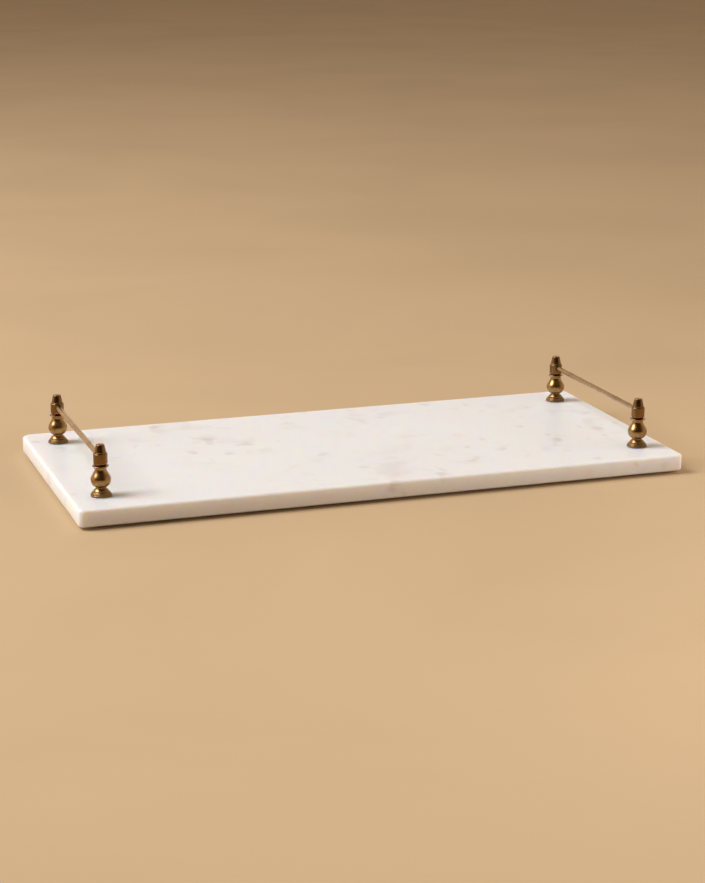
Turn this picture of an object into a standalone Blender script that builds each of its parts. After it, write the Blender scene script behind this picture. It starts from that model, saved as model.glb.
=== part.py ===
"""Dresser vanity tray: a marble slab with a brass gallery rail at each short end.

Each rail is held between two turned posts. A post is a stack of bored brass pieces (base, collar,
rail socket and finial cap), and one long screw from under the slab ties the stack down to it.
Metres, +Z up, +X along the slab. The origin is on the table, under the middle of the slab.
"""

import math

import bmesh
import bpy

# The slab. The thickness is that of the stone alone.
SLAB_LENGTH = 0.4572
SLAB_WIDTH = 0.2159
SLAB_THICKNESS = 0.0127
SLAB_CORNER_RADIUS = 0.006
SLAB_EDGE_RADIUS = 0.0020

# Where the posts stand, from the slab's ends and long sides to their axes.
POST_FROM_END = 0.0227
POST_FROM_SIDE = 0.0320

# The post's base: a two-step foot, a neck and a vase.
FOOT_RADIUS = 0.0075
FOOT_RIM_HEIGHT = 0.0012
FOOT_STEP_RADIUS = 0.0069
FOOT_STEP_HEIGHT = 0.0009
FOOT_ROUND = 0.0004
FOOT_SLOPE_HEIGHT = 0.0035
NECK_RADIUS = 0.0036
NECK_HEIGHT = 0.0009
VASE_RADIUS = 0.00715
VASE_SWELL_HEIGHT = 0.0052
VASE_TAPER_HEIGHT = 0.0089
VASE_TOP_RADIUS = 0.0044

# The pieces stacked on the base.
COLLAR_RADIUS = 0.0058
COLLAR_THICKNESS = 0.0007
SOCKET_RADIUS = 0.0050
SOCKET_FOOT_RADIUS = 0.0035
SOCKET_FLARE_HEIGHT = 0.0022
SOCKET_WALL_UNDER_RAIL = 0.00165
SOCKET_WALL_OVER_RAIL = 0.00035
SOCKET_SHOULDER = 0.0005
CAP_LEDGE = 0.0009
CAP_RIM_HEIGHT = 0.0005
CAP_RIM_OVERHANG = 0.0002
CAP_TOP_RADIUS = 0.0029
CAP_TOP_ROUND = 0.0008
CAP_HEIGHT = 0.0061
CAP_THREAD_DEPTH = 0.0040

# The rail.
RAIL_RADIUS = 0.0020
RAIL_END_FROM_SCREW = 0.0004

# The fixings and the pads under the slab.
SCREW_RADIUS = 0.0020
SCREW_HEAD_RADIUS = 0.0040
SCREW_HEAD_HEIGHT = 0.0024
SCREW_HEAD_ROUND = 0.0012
SCREW_HEAD_SUNK = 0.0008
SCREW_TIP_CHAMFER = 0.0004
HEX_ACROSS_CORNERS = 0.0029
HEX_DEPTH = 0.0013
WASHER_RADIUS = 0.0050
WASHER_THICKNESS = 0.0008
PAD_RADIUS = 0.0090
PAD_THICKNESS = 0.0017
PAD_EDGE_RADIUS = 0.0006
PAD_FROM_POST = 0.0280

# Gaps: between pieces that touch, round a shank in its bore, and round the fixings in the stone.
SEAT_GAP = 0.0003
BORE_CLEARANCE = 0.0003
SLAB_HOLE_CLEARANCE = 0.00075
COUNTERBORE_CLEARANCE = 0.0010
CUTTER_OVERRUN = 0.0020

# How finely round shapes are divided.
ROUND_STEPS = 24
SCREW_STEPS = 16
RAIL_RESOLUTION = 4
CORNER_SEGMENTS = 6
EDGE_SEGMENTS = 3
ROUND_POINTS = 2
SWELL_POINTS = 6
MERGE_DISTANCE = 0.00001
CREASE_ANGLE = math.radians(35)

# Heights above the table.
SLAB_BOTTOM = PAD_THICKNESS + SEAT_GAP
SLAB_TOP = SLAB_BOTTOM + SLAB_THICKNESS

# Heights above the slab's top, from which each post is measured.
BASE_BOTTOM = SEAT_GAP
FOOT_STEP_BOTTOM = BASE_BOTTOM + FOOT_RIM_HEIGHT
FOOT_SLOPE_BOTTOM = FOOT_STEP_BOTTOM + FOOT_STEP_HEIGHT
NECK_BOTTOM = FOOT_SLOPE_BOTTOM + FOOT_SLOPE_HEIGHT
VASE_BOTTOM = NECK_BOTTOM + NECK_HEIGHT
VASE_WIDEST = VASE_BOTTOM + VASE_SWELL_HEIGHT
BASE_TOP = VASE_WIDEST + VASE_TAPER_HEIGHT
COLLAR_BOTTOM = BASE_TOP + SEAT_GAP
COLLAR_TOP = COLLAR_BOTTOM + COLLAR_THICKNESS
SOCKET_BOTTOM = COLLAR_TOP + SEAT_GAP
SOCKET_FLARE_TOP = SOCKET_BOTTOM + SOCKET_FLARE_HEIGHT
RAIL_HEIGHT = SOCKET_FLARE_TOP + SOCKET_WALL_UNDER_RAIL + RAIL_RADIUS
RAIL_HOLE_RADIUS = RAIL_RADIUS + BORE_CLEARANCE
SOCKET_TOP = RAIL_HEIGHT + RAIL_HOLE_RADIUS + SOCKET_WALL_OVER_RAIL
CAP_BOTTOM = SOCKET_TOP + SEAT_GAP
CAP_TOP = CAP_BOTTOM + CAP_HEIGHT
SCREW_TOP = CAP_BOTTOM + CAP_THREAD_DEPTH - SEAT_GAP

# Below the slab's top: the fixings sit in a counterbore in its underside.
SLAB_UNDERSIDE = -SLAB_THICKNESS
SCREW_BOTTOM = SLAB_UNDERSIDE + SCREW_HEAD_SUNK
SCREW_HEAD_TOP = SCREW_BOTTOM + SCREW_HEAD_HEIGHT
WASHER_BOTTOM = SCREW_HEAD_TOP + SEAT_GAP
WASHER_TOP = WASHER_BOTTOM + WASHER_THICKNESS
COUNTERBORE_TOP = WASHER_TOP + SEAT_GAP

BORE_RADIUS = SCREW_RADIUS + BORE_CLEARANCE
SLAB_HOLE_RADIUS = SCREW_RADIUS + SLAB_HOLE_CLEARANCE
COUNTERBORE_RADIUS = WASHER_RADIUS + COUNTERBORE_CLEARANCE
CAP_RADIUS = SOCKET_RADIUS - CAP_LEDGE

# Distances along the slab and across it.
POST_X = SLAB_LENGTH / 2 - POST_FROM_END
POST_Y = SLAB_WIDTH / 2 - POST_FROM_SIDE
PAD_X = POST_X - PAD_FROM_POST
RAIL_END_INSET = SCREW_RADIUS + RAIL_END_FROM_SCREW

# Each corner's name, and the signs of its X and Y.
CORNERS = {
    "front_left": (-1, -1),
    "back_left": (-1, 1),
    "back_right": (1, 1),
    "front_right": (1, -1),
}


def clear_scene():
    for obj in list(bpy.data.objects):
        bpy.data.objects.remove(obj, do_unlink=True)


def new_collection(name):
    collection = bpy.data.collections.new(name)
    bpy.context.scene.collection.children.link(collection)
    return collection


def principled(name, color, roughness, metallic=0.0):
    material = bpy.data.materials.new(name)
    material.use_nodes = True
    shader = material.node_tree.nodes["Principled BSDF"]
    shader.inputs["Base Color"].default_value = (*color, 1.0)
    shader.inputs["Roughness"].default_value = roughness
    shader.inputs["Metallic"].default_value = metallic
    return material


def arc(centre, radii, start, end, points=ROUND_POINTS):
    """Profile points on an ellipse's arc, with its angles in degrees above the outward direction."""
    found = []
    for i in range(points + 1):
        angle = math.radians(start + (end - start) * i / points)
        found.append((centre[0] + radii[0] * math.cos(angle), centre[1] + radii[1] * math.sin(angle)))
    return found


def rounded(radius, height, round_radius, start, end):
    """An arc of a small radius inside the corner at (radius, height)."""
    centre = (radius - round_radius, height - math.copysign(round_radius, start + end))
    return arc(centre, (round_radius, round_radius), start, end)


def ogee(top, bottom, points=SWELL_POINTS):
    """Profile points on an S curve that is parallel to the axis at both of its ends."""
    found = []
    for i in range(points + 1):
        share = i / points
        blend = (1 - math.cos(math.pi * share)) / 2
        found.append((top[0] + (bottom[0] - top[0]) * blend, top[1] + (bottom[1] - top[1]) * share))
    return found


def base_outline():
    """Foot, neck and vase, bored through for the screw."""
    outline = [(BORE_RADIUS, BASE_TOP)]
    outline += ogee((VASE_TOP_RADIUS, BASE_TOP), (VASE_RADIUS, VASE_WIDEST))
    swell = arc((NECK_RADIUS, VASE_WIDEST), (VASE_RADIUS - NECK_RADIUS, VASE_SWELL_HEIGHT),
                0, -90, SWELL_POINTS)
    outline += swell[1:]
    outline.append((NECK_RADIUS, NECK_BOTTOM))
    outline.append((FOOT_STEP_RADIUS - FOOT_ROUND, FOOT_SLOPE_BOTTOM))
    outline += rounded(FOOT_STEP_RADIUS, FOOT_SLOPE_BOTTOM, FOOT_ROUND, 60, 0)
    outline.append((FOOT_STEP_RADIUS, FOOT_STEP_BOTTOM))
    outline += rounded(FOOT_RADIUS, FOOT_STEP_BOTTOM, FOOT_ROUND, 60, 0)
    outline.append((FOOT_RADIUS, BASE_BOTTOM))
    outline.append((BORE_RADIUS, BASE_BOTTOM))
    return outline


def collar_outline():
    half = COLLAR_THICKNESS / 2
    outline = [(BORE_RADIUS, COLLAR_TOP)]
    outline += arc((COLLAR_RADIUS - half, COLLAR_BOTTOM + half), (half, half), 90, -90)
    outline.append((BORE_RADIUS, COLLAR_BOTTOM))
    return outline


def socket_outline():
    """A barrel with a tapered foot and a rounded shoulder, bored through for the screw."""
    outline = [(BORE_RADIUS, SOCKET_TOP)]
    outline += rounded(SOCKET_RADIUS, SOCKET_TOP, SOCKET_SHOULDER, 90, 0)
    outline.append((SOCKET_RADIUS, SOCKET_FLARE_TOP))
    outline.append((SOCKET_FOOT_RADIUS, SOCKET_BOTTOM))
    outline.append((BORE_RADIUS, SOCKET_BOTTOM))
    return outline


def cap_outline():
    """A truncated cone over a thin rim, with a blind threaded hole from below."""
    rim_radius = CAP_RADIUS + CAP_RIM_OVERHANG
    rim_top = CAP_BOTTOM + CAP_RIM_HEIGHT
    hole_top = CAP_BOTTOM + CAP_THREAD_DEPTH
    outline = [(0.0, CAP_TOP)]
    outline += rounded(CAP_TOP_RADIUS, CAP_TOP, CAP_TOP_ROUND, 90, 0)
    outline += [(CAP_RADIUS, rim_top), (rim_radius, rim_top), (rim_radius, CAP_BOTTOM)]
    outline += [(BORE_RADIUS, CAP_BOTTOM), (BORE_RADIUS, hole_top), (0.0, hole_top)]
    return outline


def screw_outline():
    """A button-head screw with its head down."""
    outline = [(0.0, SCREW_TOP), (SCREW_RADIUS - SCREW_TIP_CHAMFER, SCREW_TOP)]
    outline += [(SCREW_RADIUS, SCREW_TOP - SCREW_TIP_CHAMFER), (SCREW_RADIUS, SCREW_HEAD_TOP)]
    outline.append((SCREW_HEAD_RADIUS, SCREW_HEAD_TOP))
    outline += rounded(SCREW_HEAD_RADIUS, SCREW_BOTTOM, SCREW_HEAD_ROUND, 0, -90)
    outline.append((0.0, SCREW_BOTTOM))
    return outline


def washer_outline():
    return [(BORE_RADIUS, WASHER_TOP), (WASHER_RADIUS, WASHER_TOP),
            (WASHER_RADIUS, WASHER_BOTTOM), (BORE_RADIUS, WASHER_BOTTOM)]


def pad_outline():
    """A low disc with a rounded lower edge, standing on the table."""
    outline = [(0.0, PAD_THICKNESS), (PAD_RADIUS, PAD_THICKNESS)]
    outline += rounded(PAD_RADIUS, 0.0, PAD_EDGE_RADIUS, 0, -90)
    outline.append((0.0, 0.0))
    return outline


def slab_hole_outline():
    """What is cut from the stone for one post: a clearance hole over a counterbore."""
    return [(0.0, CUTTER_OVERRUN), (SLAB_HOLE_RADIUS, CUTTER_OVERRUN),
            (SLAB_HOLE_RADIUS, COUNTERBORE_TOP), (COUNTERBORE_RADIUS, COUNTERBORE_TOP),
            (COUNTERBORE_RADIUS, SLAB_UNDERSIDE - CUTTER_OVERRUN),
            (0.0, SLAB_UNDERSIDE - CUTTER_OVERRUN)]


def turned(name, outline, steps=ROUND_STEPS):
    """A solid turned about Z. Its outline runs down the outer side, and closes if it misses the axis."""
    mesh = bpy.data.meshes.new(name)
    edges = [(i, i + 1) for i in range(len(outline) - 1)]
    if outline[0][0] > 0.0:
        edges.append((len(outline) - 1, 0))
    mesh.from_pydata([(radius, 0.0, height) for radius, height in outline], edges, [])
    obj = bpy.data.objects.new(name, mesh)
    screw = obj.modifiers.new("turn", "SCREW")
    screw.steps = steps
    screw.render_steps = steps
    screw.use_merge_vertices = True
    screw.merge_threshold = MERGE_DISTANCE
    return obj


def prism(name, radius, depth, sides):
    """A closed prism about Z, centred on the origin."""
    mesh = bpy.data.meshes.new(name)
    shape = bmesh.new()
    bmesh.ops.create_cone(shape, cap_ends=True, segments=sides, radius1=radius, radius2=radius, depth=depth)
    shape.to_mesh(mesh)
    shape.free()
    return bpy.data.objects.new(name, mesh)


def rail_hole():
    """A flat-ended hole, from outside the front post's barrel towards the screw in its middle."""
    near = RAIL_END_INSET - BORE_CLEARANCE
    far = SOCKET_RADIUS + CUTTER_OVERRUN
    cutter = prism("rail_hole", RAIL_HOLE_RADIUS, far - near, ROUND_STEPS)
    cutter.rotation_euler.x = math.pi / 2
    cutter.location = (0.0, (near + far) / 2, RAIL_HEIGHT)
    return cutter


def hex_hole():
    """The hexagon socket in the screw's head."""
    cutter = prism("hex_hole", HEX_ACROSS_CORNERS / 2, HEX_DEPTH + CUTTER_OVERRUN, 6)
    cutter.location.z = SCREW_BOTTOM + (HEX_DEPTH - CUTTER_OVERRUN) / 2
    return cutter


def cut(obj, cutter, cutters):
    """Cuts one object from another. The cutter stays, hidden, in its own collection."""
    cutters.objects.link(cutter)
    cutter.hide_render = True
    cutter.display_type = "WIRE"
    modifier = obj.modifiers.new(cutter.name, "BOOLEAN")
    modifier.operation = "DIFFERENCE"
    modifier.solver = "EXACT"
    modifier.object = cutter


def finished_mesh(obj, material):
    """An object's mesh with its modifiers applied, smooth but for its creases. The object is removed."""
    bpy.context.scene.collection.objects.link(obj)
    bpy.context.view_layer.update()
    graph = bpy.context.evaluated_depsgraph_get()
    mesh = bpy.data.meshes.new_from_object(obj.evaluated_get(graph))
    mesh.name = obj.name
    mesh.shade_smooth()
    mesh.set_sharp_from_angle(angle=CREASE_ANGLE)
    mesh.materials.clear()
    mesh.materials.append(material)
    bpy.data.objects.remove(obj, do_unlink=True)
    return mesh


def is_level(edge):
    return abs(edge.verts[0].co.z - edge.verts[1].co.z) < MERGE_DISTANCE


def bevel(shape, edges, width, segments):
    bmesh.ops.bevel(shape, geom=edges, offset=width, segments=segments, profile=0.5, affect="EDGES",
                    material=-1)


def make_slab(collection, material):
    """A block with rounded corners and eased edges, centred on the origin in plan."""
    mesh = bpy.data.meshes.new("marble_slab")
    shape = bmesh.new()
    bmesh.ops.create_cube(shape, size=1.0)
    bmesh.ops.scale(shape, vec=(SLAB_LENGTH, SLAB_WIDTH, SLAB_THICKNESS), verts=shape.verts)
    bevel(shape, [edge for edge in shape.edges if not is_level(edge)], SLAB_CORNER_RADIUS, CORNER_SEGMENTS)
    bevel(shape, [edge for edge in shape.edges if is_level(edge)], SLAB_EDGE_RADIUS, EDGE_SEGMENTS)
    shape.to_mesh(mesh)
    shape.free()
    mesh.shade_smooth()
    mesh.set_sharp_from_angle(angle=CREASE_ANGLE)
    mesh.materials.append(material)
    slab = bpy.data.objects.new("marble_slab", mesh)
    slab.location.z = SLAB_BOTTOM + SLAB_THICKNESS / 2
    collection.objects.link(slab)
    return slab


def make_rail(name, sign_x, collection, material):
    """A round rod from one post's socket to the other's."""
    curve = bpy.data.curves.new(name, "CURVE")
    curve.dimensions = "3D"
    curve.bevel_depth = RAIL_RADIUS
    curve.bevel_resolution = RAIL_RESOLUTION
    curve.use_fill_caps = True
    curve.materials.append(material)
    spline = curve.splines.new("POLY")
    spline.points.add(1)
    half_length = POST_Y - RAIL_END_INSET
    spline.points[0].co = (0.0, -half_length, 0.0, 1.0)
    spline.points[1].co = (0.0, half_length, 0.0, 1.0)
    rail = bpy.data.objects.new(name, curve)
    rail.location = (sign_x * POST_X, 0.0, SLAB_TOP + RAIL_HEIGHT)
    collection.objects.link(rail)


def post_meshes(cutters):
    """The mesh of each piece that every corner has, measured from the post's axis and the slab's top."""
    aged_brass = principled("aged_brass", (0.42, 0.27, 0.10), 0.28, 1.0)
    dark_brass = principled("dark_brass", (0.20, 0.12, 0.05), 0.40, 1.0)
    zinc_steel = principled("zinc_steel", (0.55, 0.55, 0.56), 0.38, 1.0)
    socket = turned("rail_socket", socket_outline())
    cut(socket, rail_hole(), cutters)
    screw = turned("tie_screw", screw_outline(), SCREW_STEPS)
    cut(screw, hex_hole(), cutters)
    return {
        "post_base": finished_mesh(turned("post_base", base_outline()), aged_brass),
        "collar": finished_mesh(turned("collar", collar_outline()), dark_brass),
        "rail_socket": finished_mesh(socket, aged_brass),
        "finial_cap": finished_mesh(turned("finial_cap", cap_outline()), aged_brass),
        "tie_screw": finished_mesh(screw, zinc_steel),
        "screw_washer": finished_mesh(turned("screw_washer", washer_outline()), zinc_steel),
    }


def build():
    clear_scene()
    parts = new_collection("dresser_vanity_tray")
    cutters = new_collection("cutters")
    slab = make_slab(parts, principled("marble", (0.84, 0.80, 0.77), 0.35))
    satin_brass = principled("satin_brass", (0.52, 0.37, 0.20), 0.34, 1.0)
    make_rail("rail_left", -1, parts, satin_brass)
    make_rail("rail_right", 1, parts, satin_brass)
    meshes = post_meshes(cutters)
    rubber = principled("rubber", (0.05, 0.045, 0.04), 0.75)
    pad_mesh = finished_mesh(turned("bumper_pad", pad_outline()), rubber)

    for corner, (sign_x, sign_y) in CORNERS.items():
        post = bpy.data.objects.new(f"post_{corner}", None)
        post.location = (sign_x * POST_X, sign_y * POST_Y, SLAB_TOP)
        # A back post is a front one turned about its axis, so that its rail hole faces forwards.
        post.rotation_euler.z = math.pi if sign_y > 0 else 0.0
        parts.objects.link(post)
        for piece, mesh in meshes.items():
            obj = bpy.data.objects.new(f"{piece}_{corner}", mesh)
            obj.parent = post
            parts.objects.link(obj)

        slab_hole = turned(f"slab_hole_{corner}", slab_hole_outline())
        slab_hole.parent = post
        cut(slab, slab_hole, cutters)

        pad = bpy.data.objects.new(f"bumper_pad_{corner}", pad_mesh)
        pad.location = (sign_x * PAD_X, sign_y * POST_Y, 0.0)
        parts.objects.link(pad)


build()
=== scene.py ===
"""Looks for the dresser vanity tray: a marble slab with a turned brass gallery at each short end.

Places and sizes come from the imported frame. Each piece is shaped here more finely than its CAD node,
stands for that node, and takes a finish made of nodes. Metres, +Z up, +X along the slab.
"""

import math
from collections import namedtuple

import bmesh
import bpy
from mathutils import Matrix, Vector, noise


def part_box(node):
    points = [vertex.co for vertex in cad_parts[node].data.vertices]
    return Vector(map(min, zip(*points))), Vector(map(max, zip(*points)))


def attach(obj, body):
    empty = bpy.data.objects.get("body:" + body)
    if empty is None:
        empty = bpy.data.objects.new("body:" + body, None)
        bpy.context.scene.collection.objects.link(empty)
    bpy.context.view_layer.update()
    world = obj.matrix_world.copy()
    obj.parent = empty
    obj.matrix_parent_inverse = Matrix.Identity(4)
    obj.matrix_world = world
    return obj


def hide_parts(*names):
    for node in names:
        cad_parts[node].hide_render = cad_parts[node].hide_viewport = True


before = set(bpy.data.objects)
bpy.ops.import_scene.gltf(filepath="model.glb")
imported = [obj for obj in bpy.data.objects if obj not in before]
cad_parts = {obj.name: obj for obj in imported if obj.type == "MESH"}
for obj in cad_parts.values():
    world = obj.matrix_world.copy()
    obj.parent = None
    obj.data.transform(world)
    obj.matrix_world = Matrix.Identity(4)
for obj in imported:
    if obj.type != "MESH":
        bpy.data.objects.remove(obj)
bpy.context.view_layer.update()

MM = 0.001

# Each corner's name, and the signs of its X and Y.
CORNERS = {
    "front_left": (-1, -1),
    "back_left": (-1, 1),
    "back_right": (1, 1),
    "front_right": (1, -1),
}

# The stone: how round each corner is in plan, the eased edge, and how uneven hand polishing left it.
PLAN_RADII = {"front_left": 4.5 * MM, "back_left": 8 * MM, "back_right": 6.5 * MM, "front_right": 3.2 * MM}
PLAN_SEGMENTS = 14
EASED_EDGE = 2.0 * MM
EASED_SEGMENTS = 6
SHADING_MARGIN = 0.5 * MM
GRID_SPACING = 6 * MM
HAND_POLISH_DEPTH = 0.28 * MM
HAND_POLISH_WAVES = (45, 170)
HAND_POLISH_SHARES = (0.7, 0.3)
SLAB_HOLE_RADIUS = 2.75 * MM
COUNTERBORE_RADIUS = 6.0 * MM
COUNTERBORE_DEPTH = 4.6 * MM
HOLE_CHAMFER = 0.35 * MM
CUTTER_OVERRUN = 1 * MM

# A face of the slab is part of its sawn underside if the Z of its normal is below this.
SAWN_BELOW = -0.9

# The turned brass, with heights above each piece's own bottom. A ROUND is the fillet of a corner.
BORE_RADIUS = 2.3 * MM
BROKEN_EDGE = 0.1 * MM
FOOT_RIM = 1.2 * MM
FOOT_STEP = 2.1 * MM
FOOT_ROUND = 0.35 * MM
FOOT_STEP_RADIUS = 6.9 * MM
FOOT_STEP_INSET = 0.15 * MM
FOOT_STEP_INSET_HEIGHT = 0.2 * MM
FOOT_STEP_INSET_ROUND = 0.08 * MM
FOOT_SLOPE_RADIUS = 6.45 * MM
NECK_RADIUS = 3.6 * MM
NECK_BOTTOM = 5.6 * MM
NECK_TOP = 6.5 * MM
NECK_ROUND = 0.5 * MM
VASE_WIDEST = 11.7 * MM
VASE_RADIUS = 7.15 * MM
VASE_NECK_RADIUS = 4.1 * MM
LIP_HEIGHT = 1.1 * MM
LIP_FLARE = 0.6 * MM
LIP_ROUND = 0.3 * MM
LIP_MIDDLE_SHARES = (0.4, 0.5)

# The rings cut in the foot's slope: their depth, which also sets their height, their places up the
# slope, and the rounds of each one's groove, lower edge and upper edge.
RING_LINE = 0.30 * MM
RING_PLACES = (0.0, 0.36)
RING_ROUNDS = (0.05 * MM, 0.15 * MM, 0.2 * MM)

# The collar's round, as a share of its thickness.
COLLAR_ROUND_SHARE = 0.45

# The barrel, and the cutter for the rail's blind hole in it. The cutter is straight for a share of the
# barrel's radius, and widens beyond the barrel.
SOCKET_FOOT_RADIUS = 4.0 * MM
SOCKET_FOOT_ROUND = 0.15 * MM
SOCKET_FLARE = 1.3 * MM
SOCKET_FLARE_ROUND = 0.6 * MM
SOCKET_SHOULDER = 0.5 * MM
RAIL_HOLE_RADIUS = 2.3 * MM
RAIL_CUTTER_SHARE = 0.6
RAIL_CUTTER_FLARE = 2 * MM
RAIL_END_GAP = 0.3 * MM

# The cap, and the chamfer at the end of the thread in it.
CAP_RIM = 0.5 * MM
CAP_RIM_ROUND = 0.2 * MM
CAP_RADIUS = 4.1 * MM
CAP_CREASE = 0.05 * MM
CAP_TOP_RADIUS = 2.9 * MM
CAP_TOP_ROUND = 0.8 * MM
CAP_THREAD_DEPTH = 4.0 * MM
CAP_THREAD_CHAMFER = 0.3 * MM

# The screw: its button head, shank and thread, and the hexagon socket in its head.
HEAD_HEIGHT = 2.4 * MM
HEAD_CROWN_HEIGHT = 1.3 * MM
HEAD_CROWN_ROUND = 0.9 * MM
HEAD_FLAT_SHARE = 0.5
HEAD_FLAT_ROUND = 0.6 * MM
HEAD_SEAT_ROUND = 0.15 * MM
SHANK_RADIUS = 2.0 * MM
THREAD_LENGTH = 6.0 * MM
THREAD_PITCH = 0.7 * MM
THREAD_DEPTH = 0.3 * MM
TIP_CHAMFER = 0.4 * MM
HEX_RADIUS = 1.45 * MM
HEX_CUTTER_LENGTH = 3 * MM
HEX_CUTTER_SUNK = 0.2 * MM

# The washer's rounds. Stamping left the outer edge rounder underneath.
WASHER_ROUND = 0.1 * MM
WASHER_STAMPED_ROUND = 0.2 * MM

# The bumper pad: the dimple where it was gated and the moulded foot, as shares of its radius, heights
# above its bottom, and rounds.
PAD_DIMPLE_SHARES = (0.16, 0.22)
PAD_DIMPLE_DEPTH = 0.3 * MM
PAD_FOOT_SHARES = (0.84, 0.94)
PAD_FOOT_HEIGHTS = (0.55 * MM, 0.7 * MM)
PAD_SMALL_ROUND = 0.2 * MM
PAD_FOOT_ROUNDS = (0.5 * MM, 0.3 * MM)
PAD_TOP_ROUND = 0.15 * MM

# The rails: their broken ends, and how many lengths each is divided into.
RAIL_END_ROUND = 0.3 * MM
RAIL_LENGTHS = 24

# How far above the stone polish and dust have dulled the brass, and how brown and rough it is there.
DULL_HEIGHT = 7 * MM
DULL_TARNISH = 0.7
DULL_ROUGHNESS = 0.16

# How gradually the brass turns browner at the collar, above which hands hold it.
HANDLED_BAND = 0.6 * MM

# How far each post stands off its place along X, and its lean that way in metres a metre.
STAND = {"front_left": (0.1 * MM, 0.006), "back_left": (0.1 * MM, 0.005), "back_right": (0.0, -0.004),
         "front_right": (-0.1 * MM, 0.0)}

# Turns a shape made along Z so that it lies along Y.
Z_TO_Y = Matrix.Rotation(-math.pi / 2, 3, "X")

# How finely round shapes are divided.
TURN_STEPS = 72
SCREW_STEPS = 48
RAIL_STEPS = 40
ARC_POINTS = 6
SWELL_POINTS = 20

# The largest share of a side that one fillet may take, the distances at which points merge and at
# which a cut snaps to a point, and the angle above which an edge is shaded sharp.
FILLET_LIMIT = 0.48
MERGE_DISTANCE = 0.005 * MM
SNAP_DISTANCE = MERGE_DISTANCE / 10
CREASE_ANGLE = math.radians(38)

# The size of curve that counts as a full edge or groove when the relief is marked.
RELIEF_SIZE = 0.4 * MM
RELIEF_SPREAD = 2

slab_low, slab_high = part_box("marble_slab")
collar_low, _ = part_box("collar_front_left")


# ---------------------------------------------------------------- shaping

def bevel(shape, edges, width, segments):
    bmesh.ops.bevel(shape, geom=edges, offset=width, offset_type="OFFSET", segments=segments, profile=0.5,
                    affect="EDGES", material=-1, clamp_overlap=True)


def is_level(edge):
    return abs(edge.verts[0].co.z - edge.verts[1].co.z) < MERGE_DISTANCE


def rounded(points):
    """An outline of (radius, height, fillet) corners, with an arc in place of each filleted corner."""
    outline = []
    for i, (radius, height, fillet) in enumerate(points):
        here = Vector((radius, height))
        if not fillet:
            outline.append(here)
            continue
        before = Vector(points[i - 1][:2]) - here
        after = Vector(points[i + 1][:2]) - here
        opening = before.angle(after)
        setback = fillet / math.tan(opening / 2)
        setback = min(setback, before.length * FILLET_LIMIT, after.length * FILLET_LIMIT)
        start = here + before.normalized() * setback
        end = here + after.normalized() * setback
        for j in range(ARC_POINTS + 1):
            share = j / ARC_POINTS
            first = start.lerp(here, share)
            outline.append(first.lerp(here.lerp(end, share), share))
    return outline


def ogee(start, end):
    """An S curve that is parallel to the axis at both of its ends."""
    points = []
    for i in range(SWELL_POINTS + 1):
        share = i / SWELL_POINTS
        blend = (1 - math.cos(math.pi * share)) / 2
        points.append((start[0] + (end[0] - start[0]) * blend, start[1] + (end[1] - start[1]) * share, 0))
    return points


def swell(start, end):
    """A quarter of an ellipse, level at its start and upright at its end."""
    points = []
    for i in range(SWELL_POINTS + 1):
        angle = math.pi / 2 * i / SWELL_POINTS
        points.append((start[0] + (end[0] - start[0]) * math.sin(angle),
                       end[1] + (start[1] - end[1]) * math.cos(angle), 0))
    return points


def turned(points, steps=TURN_STEPS):
    """A solid turned about Z from its outline. The outline closes on itself if it misses the axis."""
    shape = bmesh.new()
    outline = rounded(points)
    verts = [shape.verts.new((radius, 0.0, height)) for radius, height in outline]
    edges = [shape.edges.new(pair) for pair in zip(verts, verts[1:])]
    if outline[0].x > 0.0:
        edges.append(shape.edges.new((verts[-1], verts[0])))
    bmesh.ops.spin(shape, geom=verts + edges, cent=(0, 0, 0), axis=(0, 0, 1), angle=math.tau, steps=steps,
                   use_merge=True)
    close_up(shape)
    return shape


def close_up(shape):
    bmesh.ops.remove_doubles(shape, verts=shape.verts, dist=MERGE_DISTANCE)
    bmesh.ops.dissolve_degenerate(shape, dist=MERGE_DISTANCE, edges=shape.edges)
    bmesh.ops.recalc_face_normals(shape, faces=shape.faces)


def mark_relief(shape):
    """Stores how sharply the surface turns at each point: above 0 on edges, below 0 in grooves."""
    layer = shape.verts.layers.float.new("relief")
    for vert in shape.verts:
        bend = sum(edge.calc_face_angle_signed(0.0) * edge.calc_length() for edge in vert.link_edges)
        area = sum(face.calc_area() for face in vert.link_faces) / 3
        vert[layer] = max(-1.0, min(1.0, bend / (4 * area) * RELIEF_SIZE)) if area else 0.0
    for _ in range(RELIEF_SPREAD):
        spread = {}
        for vert in shape.verts:
            around = [edge.other_vert(vert)[layer] for edge in vert.link_edges]
            spread[vert] = (vert[layer] + sum(around) / len(around)) / 2
        for vert, value in spread.items():
            vert[layer] = value


def finish_piece(name, shape, material, slot, *nodes):
    """Makes a piece of a finished bmesh. It stands for its CAD nodes and rides on the one body."""
    mark_relief(shape)
    mesh = bpy.data.meshes.new(name)
    shape.to_mesh(mesh)
    shape.free()
    mesh.shade_smooth()
    mesh.set_sharp_from_angle(angle=CREASE_ANGLE)
    mesh.materials.append(material)
    piece = bpy.data.objects.new(name, mesh)
    bpy.context.scene.collection.objects.link(piece)
    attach(piece, "root")
    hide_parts(*nodes)
    return piece


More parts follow.
